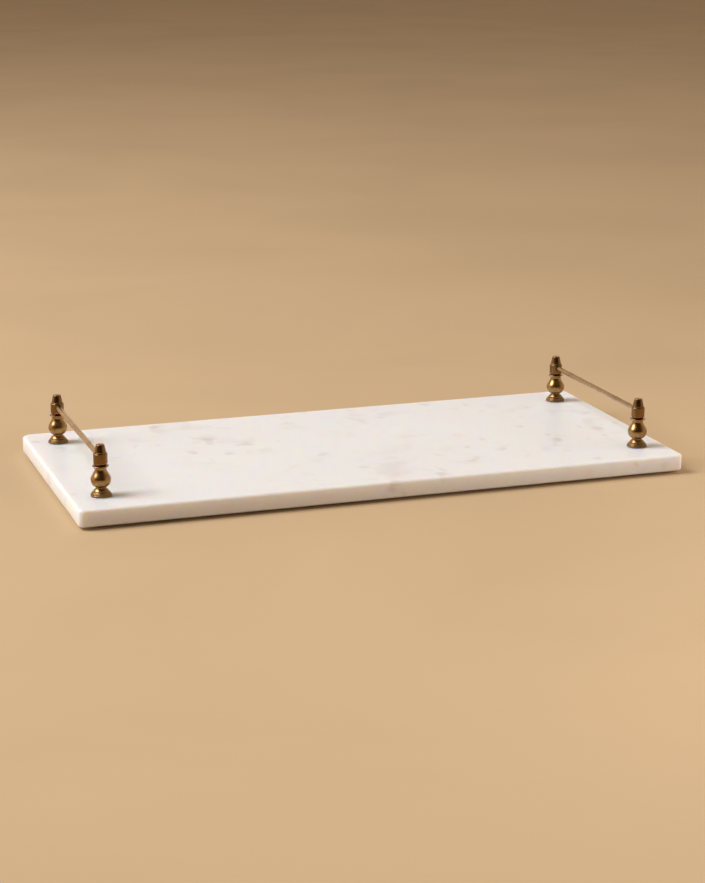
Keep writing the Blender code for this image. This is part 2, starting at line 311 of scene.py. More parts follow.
def cut_away(shape, cutters):
    """The shape with the cutters taken out of it. The shape and the cutters are used up."""
    made = []
    for part in (shape, *cutters):
        mesh = bpy.data.meshes.new("blank")
        part.to_mesh(mesh)
        part.free()
        blank = bpy.data.objects.new("blank", mesh)
        bpy.context.scene.collection.objects.link(blank)
        made.append(blank)
    for cutter in made[1:]:
        modifier = made[0].modifiers.new("cut", "BOOLEAN")
        modifier.operation = "DIFFERENCE"
        modifier.solver = "EXACT"
        modifier.object = cutter
    bpy.context.view_layer.update()
    graph = bpy.context.evaluated_depsgraph_get()
    result = bmesh.new()
    result.from_object(made[0], graph)
    for blank in made:
        mesh = blank.data
        bpy.data.objects.remove(blank, do_unlink=True)
        bpy.data.meshes.remove(mesh)
    bmesh.ops.remove_doubles(result, verts=result.verts, dist=MERGE_DISTANCE)
    return result


# ---------------------------------------------------------------- finishes

# A RANGE is the value at which an effect begins and at which it is full, and then, if it isn't 0 to 1,
# how strong it is at each. Relief is below 0 in grooves and above 0 on edges.

# Tarnish in grooves and in patches, how the mottle breaks it up, and how evenly edges are rubbed.
GROOVE_RANGE = (-0.03, -0.30)
PATCH_RANGE = (0.48, 0.75, 0.0, 0.7)
BREAK_UP_RANGE = (0.2, 0.55, 0.6, 1.0)
EDGE_RANGE = (0.12, 0.45)
UNEVEN_RANGE = (0.25, 0.6, 1.0, 0.4)

# How much finer the mottle is than the patches, and the dents that tool marks run over.
MOTTLE_TO_PATCH = 6.0
DENTS_A_METRE = 160.0

# A brass is bare metal, brown tarnish, edges rubbed bright, all as linear red, green and blue, its
# roughness, what is left of its lacquer, how its fine lines are stretched and how deep they are,
# its patches of tarnish a metre, and how brown it is above the collar.
Brass = namedtuple("Brass", "bare brown rubbed roughness lacquer lines lines_depth patches handled")
TURNED_LINES = (500.0, 500.0, 4000.0)
DRAWN_LINES = (700.0, 30.0, 700.0)
AGED_BRASS = Brass((0.41, 0.240, 0.086), (0.17, 0.076, 0.018), (0.56, 0.37, 0.18), 0.29, 0.3,
                   TURNED_LINES, 0.004 * MM, 110.0, 0.72)
DARK_BRASS = Brass((0.42, 0.24, 0.09), (0.20, 0.10, 0.035), (0.58, 0.39, 0.18), 0.30, 0.3,
                   TURNED_LINES, 0.004 * MM, 110.0, 0.3)
SATIN_BRASS = Brass((0.56, 0.41, 0.265), (0.32, 0.21, 0.12), (0.74, 0.57, 0.38), 0.22, 0.2,
                    DRAWN_LINES, 0.0015 * MM, 60.0, 0.0)
BRASS_DENTS = 0.3
LACQUER_ROUGHNESS = 0.2
TARNISH_ROUGHNESS = 0.08
BROWN_MOTTLE_RANGE = (0.3, 0.7, 0.05, 0.3)
ROUGH_MOTTLE_RANGE = (0.3, 0.7, -0.02, 0.03)

# A mark in the stone is its lumps a metre, the noise's detail, distortion and roughness, the noise at
# which it begins and is full, its strength and its colour.
StoneMark = namedtuple("StoneMark", "lumps detail distortion roughness begins full strength colour")
SMUDGES = StoneMark(42.0, 2.0, 0.3, 0.35, 0.55, 0.74, 0.36, (0.60, 0.565, 0.55))
FLECKS = StoneMark(74.0, 1.5, 0.2, 0.3, 0.62, 0.78, 0.46, (0.50, 0.45, 0.43))
STAINS = StoneMark(36.0, 1.0, 0.3, 0.5, 0.68, 0.82, 0.34, (0.74, 0.57, 0.53))
CLUSTERS_A_METRE = 9.0
CLUSTER_RANGE = (0.42, 0.60, 0.12, 1.0)
FLECK_STRETCH = (1.0, 0.75, 1.0)
FLECK_TURN = (0.0, 0.0, 0.3)

# The stone itself: its cooler and warmer white, the painted shade and warm bounce light from the floor
# low on its sides, its crystals and their strength, its shine, and how far light spreads inside it.
COOL_WHITE = (0.795, 0.797, 0.805)
WARM_WHITE = (0.783, 0.779, 0.782)
WARM_PATCHES_A_METRE = 5.0
WARM_RANGE = (0.35, 0.7)
PAINTED_BOUNCE_SHADE_COLOUR = (0.70, 0.56, 0.42)
PAINTED_BOUNCE_SHADE_STRENGTH = 0.36
CRYSTALS_A_METRE = 900.0
CRYSTAL_WHITE = (0.93, 0.91, 0.89)
CRYSTAL_STRENGTH = 0.08
CRYSTAL_ROUGHNESS = (-0.04, 0.06)
STONE_SPECULAR = 0.35
SPREAD_OF_COLOURS = (1.0, 0.65, 0.35)
SPREAD_DISTANCE = 8.0 * MM
POLISH_WAVES_A_METRE = 210.0
SAW_STRETCH = (40.0, 1400.0, 40.0)
POLISHED_ROUGHNESS = 0.36
POLISHED_DEPTH = 0.02 * MM
SAWN_ROUGHNESS = 0.62
SAWN_DEPTH = 0.06 * MM
SAW_LINES = 1.5

# Zinc plate and rubber.
ZINC_BRIGHT = (0.60, 0.61, 0.62)
ZINC_DULL = (0.30, 0.30, 0.31)
ZINC_RUBBED = (0.78, 0.78, 0.78)
ZINC_PATCHES_A_METRE = 300.0
ZINC_LINES = (1200.0, 1200.0, 6000.0)
ZINC_LINES_DEPTH = 0.01 * MM
ZINC_DENTS = 0.5
ZINC_ROUGH_RANGE = (0.3, 0.7, 0.30, 0.46)
RUBBER_BLACK = (0.035, 0.031, 0.028)
RUBBER_DUST = (0.16, 0.14, 0.12)
RUBBER_GRAIN_A_METRE = 2600.0
RUBBER_GRAIN_DEPTH = 0.03 * MM
DUST_PATCHES_A_METRE = 240.0
DUST_RANGE = (0.4, 0.75)
DUST_RELIEF_RANGE = (-0.1, 0.3, 0.3, 1.0)
DUST_ROUGH_RANGE = (0.0, 1.0, 0.62, 0.9)


def fill_in(tree, node, inputs):
    """Sets each input of a node to a value, or links it from a socket."""
    for name, value in inputs.items():
        if isinstance(value, bpy.types.NodeSocket):
            tree.links.new(value, node.inputs[name])
        else:
            node.inputs[name].default_value = value


def put(tree, kind, inputs=None, **settings):
    """Adds a node, with its settings and then its inputs filled in."""
    made = tree.nodes.new(kind)
    for name, value in settings.items():
        setattr(made, name, value)
    fill_in(tree, made, inputs or {})
    return made


def maths(tree, operation, first, second=0.0):
    return put(tree, "ShaderNodeMath", {0: first, 1: second}, operation=operation).outputs[0]


def between(tree, value, low, high, to_low=0.0, to_high=1.0):
    """The value eased from one range to another, and held at its ends."""
    ranges = {"Value": value, "From Min": low, "From Max": high, "To Min": to_low, "To Max": to_high}
    return put(tree, "ShaderNodeMapRange", ranges, interpolation_type="SMOOTHSTEP").outputs[0]


def tint(tree, share, first, second):
    """A mix of two colours. A colour is a socket, or a linear red, green and blue."""
    colours = [c if isinstance(c, bpy.types.NodeSocket) else (*c, 1.0) for c in (first, second)]
    mix = put(tree, "ShaderNodeMix", {0: share, 6: colours[0], 7: colours[1]}, data_type="RGBA")
    return mix.outputs[2]


def stretched(tree, vector, scale, turn=(0.0, 0.0, 0.0)):
    return put(tree, "ShaderNodeMapping", {"Vector": vector, "Scale": scale, "Rotation": turn}).outputs[0]


def cloud(tree, vector, scale, detail=3.0, distortion=0.0, roughness=0.5):
    """Noise from 0 to 1, with its scale in lumps a metre."""
    inputs = {"Vector": vector, "Scale": scale, "Detail": detail, "Distortion": distortion,
              "Roughness": roughness}
    return put(tree, "ShaderNodeTexNoise", inputs).outputs["Fac"]


def new_group(name, inputs, outputs):
    """An empty node group. Inputs and outputs are {name: socket kind}."""
    group = bpy.data.node_groups.new(name, "ShaderNodeTree")
    for in_out, sockets in (("INPUT", inputs), ("OUTPUT", outputs)):
        for socket, kind in sockets.items():
            group.interface.new_socket(socket, in_out=in_out, socket_type=f"NodeSocket{kind}")
    return group, put(group, "NodeGroupInput").outputs, put(group, "NodeGroupOutput").inputs


def use_group(tree, group, inputs):
    return put(tree, "ShaderNodeGroup", inputs, node_tree=group).outputs


def tarnish_group():
    """Tarnish that is heavy in grooves and patchy elsewhere, and bare metal where hands rub the edges."""
    group, given, out = new_group("tarnish", {"Vector": "Vector", "Relief": "Float", "Patch Scale": "Float"},
                                  {"Tarnish": "Float", "Rubbed": "Float", "Mottle": "Float"})
    patches = cloud(group, given["Vector"], given["Patch Scale"], 4.0, 0.6)
    fine_scale = maths(group, "MULTIPLY", given["Patch Scale"], MOTTLE_TO_PATCH)
    mottle = cloud(group, given["Vector"], fine_scale, 3.0)
    groove = between(group, given["Relief"], *GROOVE_RANGE)
    heavy = maths(group, "MAXIMUM", groove, between(group, patches, *PATCH_RANGE))
    broken_up = between(group, mottle, *BREAK_UP_RANGE)
    edge = between(group, given["Relief"], *EDGE_RANGE)
    uneven = between(group, patches, *UNEVEN_RANGE)
    group.links.new(maths(group, "MULTIPLY", heavy, broken_up), out["Tarnish"])
    group.links.new(maths(group, "MULTIPLY", edge, uneven), out["Rubbed"])
    group.links.new(mottle, out["Mottle"])
    return group


def tool_marks_group():
    """The height of fine lines left by a tool or a cloth, along the direction that is stretched least."""
    group, given, out = new_group("tool_marks", {"Vector": "Vector", "Stretch": "Vector", "Dents": "Float"},
                                  {"Height": "Float"})
    spread = put(group, "ShaderNodeVectorMath", {0: given["Vector"], 1: given["Stretch"]},
                 operation="MULTIPLY").outputs[0]
    lines = cloud(group, spread, 1.0, 3.0, 0.0, 0.6)
    dents = maths(group, "MULTIPLY", cloud(group, given["Vector"], DENTS_A_METRE, 1.0), given["Dents"])
    group.links.new(maths(group, "ADD", lines, dents), out["Height"])
    return group


TARNISH = tarnish_group()
TOOL_MARKS = tool_marks_group()


def new_material(name):
    material = bpy.data.materials.new(name)
    material.use_nodes = True
    tree = material.node_tree
    place = put(tree, "ShaderNodeTexCoord").outputs["Object"]
    return material, tree, tree.nodes["Principled BSDF"], place


def set_inputs(tree, shader, **inputs):
    """Sets or links a shader's inputs. Their names are written with _ for a space."""
    fill_in(tree, shader, {name.replace("_", " "): value for name, value in inputs.items()})


def bump(tree, height, depth):
    return put(tree, "ShaderNodeBump", {"Height": height, "Distance": depth}).outputs[0]


def height_above_table(tree, place):
    return put(tree, "ShaderNodeSeparateXYZ", {"Vector": place}).outputs["Z"]


def read_relief(tree):
    return put(tree, "ShaderNodeAttribute", attribute_name="relief").outputs["Fac"]


def use_tarnish(tree, place, patches_a_metre):
    inputs = {"Vector": place, "Relief": read_relief(tree), "Patch Scale": patches_a_metre}
    return use_group(tree, TARNISH, inputs)


def use_tool_marks(tree, place, stretch, dents):
    return use_group(tree, TOOL_MARKS, {"Vector": place, "Stretch": stretch, "Dents": dents})["Height"]


def brass_material(name, brass):
    """Aged brass, duller at the post's foot and browner above the collar, where hands hold it."""
    material, tree, shader, place = new_material(name)
    aged = use_tarnish(tree, place, brass.patches)
    height = height_above_table(tree, place)
    dull = between(tree, height, slab_high.z + DULL_HEIGHT, slab_high.z)
    handled = between(tree, height, collar_low.z - HANDLED_BAND, collar_low.z + HANDLED_BAND,
                      0.0, brass.handled)
    tarnish = maths(tree, "MAXIMUM", aged["Tarnish"], maths(tree, "MULTIPLY", dull, DULL_TARNISH))
    tarnish = maths(tree, "MAXIMUM", tarnish, handled)
    colour = tint(tree, between(tree, aged["Mottle"], *BROWN_MOTTLE_RANGE), brass.bare, brass.brown)
    colour = tint(tree, tarnish, colour, brass.brown)
    colour = tint(tree, aged["Rubbed"], colour, brass.rubbed)
    rough = between(tree, aged["Tarnish"], 0.0, 1.0, brass.roughness, brass.roughness + TARNISH_ROUGHNESS)
    rough = maths(tree, "ADD", rough, between(tree, aged["Mottle"], *ROUGH_MOTTLE_RANGE))
    rough = maths(tree, "ADD", rough, maths(tree, "MULTIPLY", dull, DULL_ROUGHNESS))
    lines = use_tool_marks(tree, place, brass.lines, BRASS_DENTS)
    set_inputs(tree, shader, Base_Color=colour, Metallic=1.0, Roughness=rough, Coat_Weight=brass.lacquer,
               Coat_Roughness=LACQUER_ROUGHNESS, Normal=bump(tree, lines, brass.lines_depth))
    return material


def add_mark(tree, colour, place, mark, clusters=None):
    """The stone's colour with one kind of mark added, gathered in clusters if they are given."""
    noise_value = cloud(tree, place, mark.lumps, mark.detail, mark.distortion, mark.roughness)
    share = between(tree, noise_value, mark.begins, mark.full)
    if clusters is not None:
        share = maths(tree, "MULTIPLY", share, clusters)
    return tint(tree, maths(tree, "MULTIPLY", share, mark.strength), colour, mark.colour)


def marble_material(name, roughness, depth, saw_lines):
    """White marble with soft grey smudges and flecks, a few pink stains, and painted shade and warm floor
    bounce light low on its sides.
    """
    material, tree, shader, place = new_material(name)
    warmth = between(tree, cloud(tree, place, WARM_PATCHES_A_METRE, 2.0), *WARM_RANGE)
    clusters = between(tree, cloud(tree, place, CLUSTERS_A_METRE, 2.0, 0.4), *CLUSTER_RANGE)
    colour = tint(tree, warmth, COOL_WHITE, WARM_WHITE)
    colour = add_mark(tree, colour, place, SMUDGES, clusters)
    colour = add_mark(tree, colour, stretched(tree, place, FLECK_STRETCH, FLECK_TURN), FLECKS, clusters)
    colour = add_mark(tree, colour, place, STAINS)
    # Painted shade and warm bounce light from the floor: the sides are tinted darker and warmer towards the
    # bottom.
    painted_bounce_shade = between(tree, height_above_table(tree, place), slab_low.z, slab_high.z - EASED_EDGE / 2,
                       PAINTED_BOUNCE_SHADE_STRENGTH, 0.0)
    colour = tint(tree, painted_bounce_shade, colour, PAINTED_BOUNCE_SHADE_COLOUR)
    crystals = put(tree, "ShaderNodeTexVoronoi", {"Vector": place, "Scale": CRYSTALS_A_METRE})
    grain = put(tree, "ShaderNodeSeparateColor", {"Color": crystals.outputs["Color"]}).outputs[0]
    colour = tint(tree, between(tree, grain, 0.0, 1.0, 0.0, CRYSTAL_STRENGTH), colour, CRYSTAL_WHITE)
    rough = between(tree, grain, 0.0, 1.0, *(roughness + change for change in CRYSTAL_ROUGHNESS))
    waves = cloud(tree, place, POLISH_WAVES_A_METRE, 3.0)
    saw = cloud(tree, stretched(tree, place, SAW_STRETCH), 1.0, 2.0)
    height = maths(tree, "ADD", waves, maths(tree, "MULTIPLY", saw, saw_lines))
    set_inputs(tree, shader, Base_Color=colour, Roughness=rough, Normal=bump(tree, height, depth),
               Specular_IOR_Level=STONE_SPECULAR, Subsurface_Weight=1.0,
               Subsurface_Radius=SPREAD_OF_COLOURS, Subsurface_Scale=SPREAD_DISTANCE)
    return material


def zinc_material(name):
    """Zinc-plated steel, slightly cloudy, with dull grooves."""
    material, tree, shader, place = new_material(name)
    aged = use_tarnish(tree, place, ZINC_PATCHES_A_METRE)
    colour = tint(tree, aged["Tarnish"], ZINC_BRIGHT, ZINC_DULL)
    colour = tint(tree, aged["Rubbed"], colour, ZINC_RUBBED)
    lines = use_tool_marks(tree, place, ZINC_LINES, ZINC_DENTS)
    set_inputs(tree, shader, Base_Color=colour, Metallic=1.0,
               Roughness=between(tree, aged["Mottle"], *ZINC_ROUGH_RANGE),
               Normal=bump(tree, lines, ZINC_LINES_DEPTH))
    return material


def rubber_material(name):
    """Moulded dark rubber, dusty where it curves, with a fine matt grain."""
    material, tree, shader, place = new_material(name)
    grain = cloud(tree, place, RUBBER_GRAIN_A_METRE, 2.0)
    patches = between(tree, cloud(tree, place, DUST_PATCHES_A_METRE, 4.0), *DUST_RANGE)
    dust = maths(tree, "MULTIPLY", patches, between(tree, read_relief(tree), *DUST_RELIEF_RANGE))
    colour = tint(tree, dust, RUBBER_BLACK, RUBBER_DUST)
    set_inputs(tree, shader, Base_Color=colour, Roughness=between(tree, dust, *DUST_ROUGH_RANGE),
               Normal=bump(tree, grain, RUBBER_GRAIN_DEPTH))
    return material


AGED = brass_material("aged_brass", AGED_BRASS)
DARK = brass_material("dark_brass", DARK_BRASS)
SATIN = brass_material("satin_brass", SATIN_BRASS)
ZINC = zinc_material("zinc_plate")
RUBBER = rubber_material("pad_rubber")
POLISHED = marble_material("polished_marble", POLISHED_ROUGHNESS, POLISHED_DEPTH, 0.0)
SAWN = marble_material("sawn_marble", SAWN_ROUGHNESS, SAWN_DEPTH, SAW_LINES)


# ---------------------------------------------------------------- the slab

def slab_block():
    """A block with rounded corners and eased edges."""
    shape = bmesh.new()
    bmesh.ops.create_cube(shape, size=1.0)
    bmesh.ops.scale(shape, vec=slab_high - slab_low, verts=shape.verts)
    bmesh.ops.translate(shape, vec=(slab_low + slab_high) / 2, verts=shape.verts)
    for corner, (sign_x, sign_y) in CORNERS.items():
        upright = [edge for edge in shape.edges if not is_level(edge)
                   and edge.verts[0].co.x == slab_high.x * sign_x
                   and edge.verts[0].co.y == slab_high.y * sign_y]
        bevel(shape, upright, PLAN_RADII[corner], PLAN_SEGMENTS)
    rim = [edge for edge in shape.edges if is_level(edge)]
    bevel(shape, rim, EASED_EDGE, EASED_SEGMENTS)
    return shape


def divide(shape, low, high, spacing, axis):
    """Cuts a shape across one axis at even steps, and close to each end to keep the flat faces flat."""
    steps = round((high - low) / spacing)
    places = [low + (high - low) * i / steps for i in range(1, steps)]
    margin = EASED_EDGE + SHADING_MARGIN
    places += [low + margin, high - margin]
    normal = Vector([1.0 if i == axis else 0.0 for i in range(3)])
    for place in places:
        bmesh.ops.bisect_plane(shape, geom=shape.verts[:] + shape.edges[:] + shape.faces[:],
                               dist=SNAP_DISTANCE, plane_co=normal * place, plane_no=normal)


def hand_polish(shape):
    """Wears the sides and edges inwards by uneven amounts. The flat top and underside stay flat."""
    shape.normal_update()
    moves = []
    for vert in shape.verts:
        sideways = math.hypot(vert.normal.x, vert.normal.y)
        wave = sum(share * noise.noise(vert.co * waves_a_metre)
                   for share, waves_a_metre in zip(HAND_POLISH_SHARES, HAND_POLISH_WAVES))
        moves.append(vert.normal * sideways * HAND_POLISH_DEPTH * (0.5 + 0.5 * wave))
    for vert, move in zip(shape.verts, moves):
        vert.co -= move


def slab_hole(centre_x, centre_y):
    """A clearance hole over a counterbore, both with broken edges."""
    top, bottom = slab_high.z, slab_low.z
    ledge = bottom + COUNTERBORE_DEPTH
    shape = turned([
        (0.0, top + CUTTER_OVERRUN, 0),
        (SLAB_HOLE_RADIUS + HOLE_CHAMFER + CUTTER_OVERRUN, top + CUTTER_OVERRUN, 0),
        (SLAB_HOLE_RADIUS, top - HOLE_CHAMFER, 0),
        (SLAB_HOLE_RADIUS, ledge, 0),
        (COUNTERBORE_RADIUS, ledge, 0),
        (COUNTERBORE_RADIUS, bottom + HOLE_CHAMFER, 0),
        (COUNTERBORE_RADIUS + HOLE_CHAMFER + CUTTER_OVERRUN, bottom - CUTTER_OVERRUN, 0),
        (0.0, bottom - CUTTER_OVERRUN, 0),
    ])
    bmesh.ops.translate(shape, vec=(centre_x, centre_y, 0.0), verts=shape.verts)
    return shape


def make_slab():
    """The slab with a hole under each post, polished all over except for its sawn underside."""
    shape = slab_block()
    divide(shape, slab_low.x, slab_high.x, GRID_SPACING, 0)
    divide(shape, slab_low.y, slab_high.y, GRID_SPACING, 1)
    hand_polish(shape)
    holes = []
    for corner in CORNERS:
        low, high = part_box(f"post_base_{corner}")
        holes.append(slab_hole((low.x + high.x) / 2, (low.y + high.y) / 2))
    shape = cut_away(shape, holes)
    slab = finish_piece("polished_slab", shape, POLISHED, "white_marble", "marble_slab")
    slab.data.materials.append(SAWN)
    for face in slab.data.polygons:
        if face.normal.z < SAWN_BELOW:
            face.material_index = 1


# ---------------------------------------------------------------- the posts

def heights(piece):
    """The bottom, top and radius of a turned piece, which are the same at each corner."""
    low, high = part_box(f"{piece}_front_left")
    return low.z, high.z, (high.x - low.x) / 2


def base_shape():
    """Foot, neck and vase in one turned piece, bored through."""
    bottom, top, foot_radius = heights("post_base")
    step_bottom = bottom + FOOT_RIM
    step_top = bottom + FOOT_STEP
    points = [(BORE_RADIUS, bottom, 0), (foot_radius - BROKEN_EDGE, bottom, 0)]
    points += [(foot_radius, bottom + BROKEN_EDGE, 0), (foot_radius, step_bottom, FOOT_ROUND)]
    points += [(FOOT_STEP_RADIUS - FOOT_STEP_INSET, step_bottom, FOOT_STEP_INSET_ROUND)]
    points += [(FOOT_STEP_RADIUS, step_bottom + FOOT_STEP_INSET_HEIGHT, BROKEN_EDGE)]
    points += [(FOOT_STEP_RADIUS, step_top, FOOT_ROUND)]
    foot_of_slope = Vector((FOOT_SLOPE_RADIUS, step_top))
    slope = Vector((NECK_RADIUS - FOOT_SLOPE_RADIUS, NECK_BOTTOM - FOOT_STEP))
    for share in RING_PLACES:
        ring = foot_of_slope + slope * share
        groove, lower_edge, upper_edge = RING_ROUNDS
        points += [(ring.x - RING_LINE, ring.y, groove)]
        points += [(ring.x, ring.y + RING_LINE / 2, lower_edge)]
        points += [(ring.x, ring.y + RING_LINE * 1.5, upper_edge)]
    points += [(NECK_RADIUS, bottom + NECK_BOTTOM, NECK_ROUND)]
    points += swell((NECK_RADIUS, bottom + NECK_TOP), (VASE_RADIUS, bottom + VASE_WIDEST))
    points += ogee((VASE_RADIUS, bottom + VASE_WIDEST), (VASE_NECK_RADIUS, top - LIP_HEIGHT))[1:]
    middle_out, middle_down = LIP_MIDDLE_SHARES
    points += [(VASE_NECK_RADIUS + LIP_FLARE * middle_out, top - LIP_HEIGHT * middle_down, LIP_ROUND)]
    points += [(VASE_NECK_RADIUS + LIP_FLARE, top - BROKEN_EDGE, BROKEN_EDGE)]
    points += [(VASE_NECK_RADIUS + LIP_FLARE - BROKEN_EDGE, top, 0), (BORE_RADIUS, top, 0)]
    return turned(points)


def collar_shape():
    """A thin flange with rounded edges."""
    bottom, top, radius = heights("collar")
    edge = (top - bottom) * COLLAR_ROUND_SHARE
    return turned([
        (BORE_RADIUS, bottom, 0),
        (radius, bottom, edge),
        (radius, top, edge),
        (BORE_RADIUS, top, 0),
    ])


def socket_shape():
    """A barrel with a tapered foot, a rounded shoulder, and a blind hole for the rail's end."""
    bottom, top, radius = heights("rail_socket")
    rail_low, rail_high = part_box("rail_left")
    shape = turned([
        (BORE_RADIUS, bottom, 0),
        (SOCKET_FOOT_RADIUS, bottom, SOCKET_FOOT_ROUND),
        (radius, bottom + SOCKET_FLARE, SOCKET_FLARE_ROUND),
        (radius, top, SOCKET_SHOULDER),
        (BORE_RADIUS, top, 0),
    ])
    straight = radius * RAIL_CUTTER_SHARE
    hole = turned([
        (0.0, 0.0, 0),
        (RAIL_HOLE_RADIUS, 0.0, 0),
        (RAIL_HOLE_RADIUS, straight, 0),
        (RAIL_HOLE_RADIUS + RAIL_CUTTER_FLARE, straight + RAIL_CUTTER_FLARE, 0),
        (0.0, straight + RAIL_CUTTER_FLARE, 0),
    ])
    bmesh.ops.rotate(hole, cent=(0, 0, 0), matrix=Z_TO_Y, verts=hole.verts)
    post_low, post_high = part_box("post_base_front_left")
    depth = rail_low.y - (post_low.y + post_high.y) / 2 - RAIL_END_GAP
    bmesh.ops.translate(hole, vec=(0, depth, (rail_low.z + rail_high.z) / 2), verts=hole.verts)
    return cut_away(shape, [hole])


def cap_shape():
    """A truncated cone over a thin rim, with a blind hole from below."""
    bottom, top, rim_radius = heights("finial_cap")
    rim_top = bottom + CAP_RIM
    hole_top = bottom + CAP_THREAD_DEPTH
    return turned([
        (0.0, hole_top, 0),
        (BORE_RADIUS - CAP_THREAD_CHAMFER, hole_top, 0),
        (BORE_RADIUS, hole_top - CAP_THREAD_CHAMFER, 0),
        (BORE_RADIUS, bottom, 0),
        (rim_radius, bottom, CAP_RIM_ROUND),
        (rim_radius, rim_top, CAP_RIM_ROUND),
        (CAP_RADIUS, rim_top + CAP_CREASE, CAP_CREASE),
        (CAP_TOP_RADIUS, top, CAP_TOP_ROUND),
        (0.0, top, 0),
    ])


def screw_shape():
    """A button-head screw, head down, with a hexagon socket and thread at its tip."""
    bottom, top, radius = heights("tie_screw")
    head_top = bottom + HEAD_HEIGHT
    points = [(0.0, bottom, 0), (radius * HEAD_FLAT_SHARE, bottom, HEAD_FLAT_ROUND)]
    points += [(radius, bottom + HEAD_CROWN_HEIGHT, HEAD_CROWN_ROUND), (radius, head_top, HEAD_SEAT_ROUND)]
    points += [(SHANK_RADIUS, head_top, HEAD_SEAT_ROUND)]
    height = top - THREAD_LENGTH
    while height + THREAD_PITCH < top - TIP_CHAMFER:
        points += [(SHANK_RADIUS, height, 0), (SHANK_RADIUS - THREAD_DEPTH, height + THREAD_PITCH / 2, 0)]
        height += THREAD_PITCH
    points += [(SHANK_RADIUS, height, 0), (SHANK_RADIUS - TIP_CHAMFER, top, 0), (0.0, top, 0)]
    shape = turned(points, SCREW_STEPS)
    hexagon = bmesh.new()
    bmesh.ops.create_cone(hexagon, cap_ends=True, segments=6, radius1=HEX_RADIUS, radius2=HEX_RADIUS,
                          depth=HEX_CUTTER_LENGTH)
    bmesh.ops.translate(hexagon, vec=(0, 0, bottom - HEX_CUTTER_SUNK), verts=hexagon.verts)
    return cut_away(shape, [hexagon])


def washer_shape():
    """A flat ring with broken edges."""
    bottom, top, radius = heights("screw_washer")
    return turned([
        (BORE_RADIUS, bottom, WASHER_ROUND),
        (radius, bottom, WASHER_STAMPED_ROUND),
        (radius, top, WASHER_ROUND),
        (BORE_RADIUS, top, WASHER_ROUND),
        (BORE_RADIUS, (bottom + top) / 2, 0),
    ])


def pad_shape():
    """A moulded bumper with a rounded foot, a raised ring and a dimple where it was gated."""
    bottom, top, radius = heights("bumper_pad")
    dimple, ring = (radius * share for share in PAD_DIMPLE_SHARES)
    foot, flare = (radius * share for share in PAD_FOOT_SHARES)
    flare_height, side_height = PAD_FOOT_HEIGHTS
    foot_round, flare_round = PAD_FOOT_ROUNDS
    return turned([
        (0.0, bottom + PAD_DIMPLE_DEPTH, 0),
        (dimple, bottom + PAD_DIMPLE_DEPTH, PAD_SMALL_ROUND),
        (ring, bottom, PAD_SMALL_ROUND),
        (foot, bottom, foot_round),
        (flare, bottom + flare_height, flare_round),
        (radius, bottom + side_height, PAD_SMALL_ROUND),
        (radius, top, PAD_TOP_ROUND),
        (0.0, top, 0),
    ])


# Each turned piece: its new name, its shape, its finish and its slot.
TURNED_PIECES = {
    "post_base": ("turned_base", base_shape, AGED, "aged_brass"),
    "collar": ("thin_collar", collar_shape, DARK, "dark_brass"),
    "rail_socket": ("rail_barrel", socket_shape, AGED, "aged_brass"),
    "finial_cap": ("finial", cap_shape, AGED, "aged_brass"),
    "tie_screw": ("button_screw", screw_shape, ZINC, "zinc_steel"),
    "screw_washer": ("flat_washer", washer_shape, ZINC, "zinc_steel"),
    "bumper_pad": ("bumper", pad_shape, RUBBER, "pad_rubber"),
}


def lean_over(shape, offset, lean):
    """Moves a post's piece along X, by more the higher above the stone it is."""
    for vert in shape.verts:
        vert.co.x += offset + lean * max(vert.co.z - slab_high.z, 0.0)


def make_turned_pieces():
    for node, (name, make_shape, material, slot) in TURNED_PIECES.items():
        for corner, (_, sign_y) in CORNERS.items():
            shape = make_shape()
            low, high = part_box(f"{node}_{corner}")
            # A back post is a front one turned about its axis, so that its rail hole faces forwards.
            turn = Matrix.Rotation(math.pi if sign_y > 0 else 0.0, 3, "Z")
            bmesh.ops.rotate(shape, cent=(0, 0, 0), matrix=turn, verts=shape.verts)
            middle = ((low.x + high.x) / 2, (low.y + high.y) / 2, 0.0)
            bmesh.ops.translate(shape, vec=middle, verts=shape.verts)
            if node != "bumper_pad":
                lean_over(shape, *STAND[corner])
            finish_piece(f"{name}_{corner}", shape, material, slot, f"{node}_{corner}")


def make_rails():
    """Round drawn rods with broken ends."""
    for side in ("left", "right"):
        low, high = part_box(f"rail_{side}")
        radius = (high.x - low.x) / 2
        length = high.y - low.y
        points = [(0.0, 0.0, 0), (radius, 0.0, RAIL_END_ROUND)]
        points += [(radius, length * i / RAIL_LENGTHS, 0) for i in range(1, RAIL_LENGTHS)]
        points += [(radius, length, RAIL_END_ROUND), (0.0, length, 0)]
        shape = turned(points, RAIL_STEPS)
        bmesh.ops.rotate(shape, cent=(0, 0, 0), matrix=Z_TO_Y, verts=shape.verts)
        middle = Vector(((low.x + high.x) / 2, low.y, (low.z + high.z) / 2))
        bmesh.ops.translate(shape, vec=middle, verts=shape.verts)
        finish_piece(f"round_rail_{side}", shape, SATIN, "satin_brass", f"rail_{side}")


# ---------------------------------------------------------------- the studio

# The camera: its place in metres, how far it tilts down and turns in radians, and its lens and sensor
# in millimetres.
CAMERA_PLACE = (-0.5066, -1.50823, 0.44195)
CAMERA_DOWN = 0.2611
CAMERA_TURN = -0.3269
CAMERA_LENS = 88.59
CAMERA_NEAREST = 0.05
SENSOR_WIDTH = 36.0

# The floor: one plain grid with faint darker patches.
FLOOR_HALF_SIZE = 12.0
FLOOR_SQUARES = 8
FLOOR_COLOUR = (0.595, 0.423, 0.247)
FLOOR_DARKER = 0.94
FLOOR_PATCHES_A_METRE = 3.0
FLOOR_RANGE = (0.35, 0.7)
FLOOR_ROUGHNESS = 0.75
FLOOR_SPECULAR = 0.2

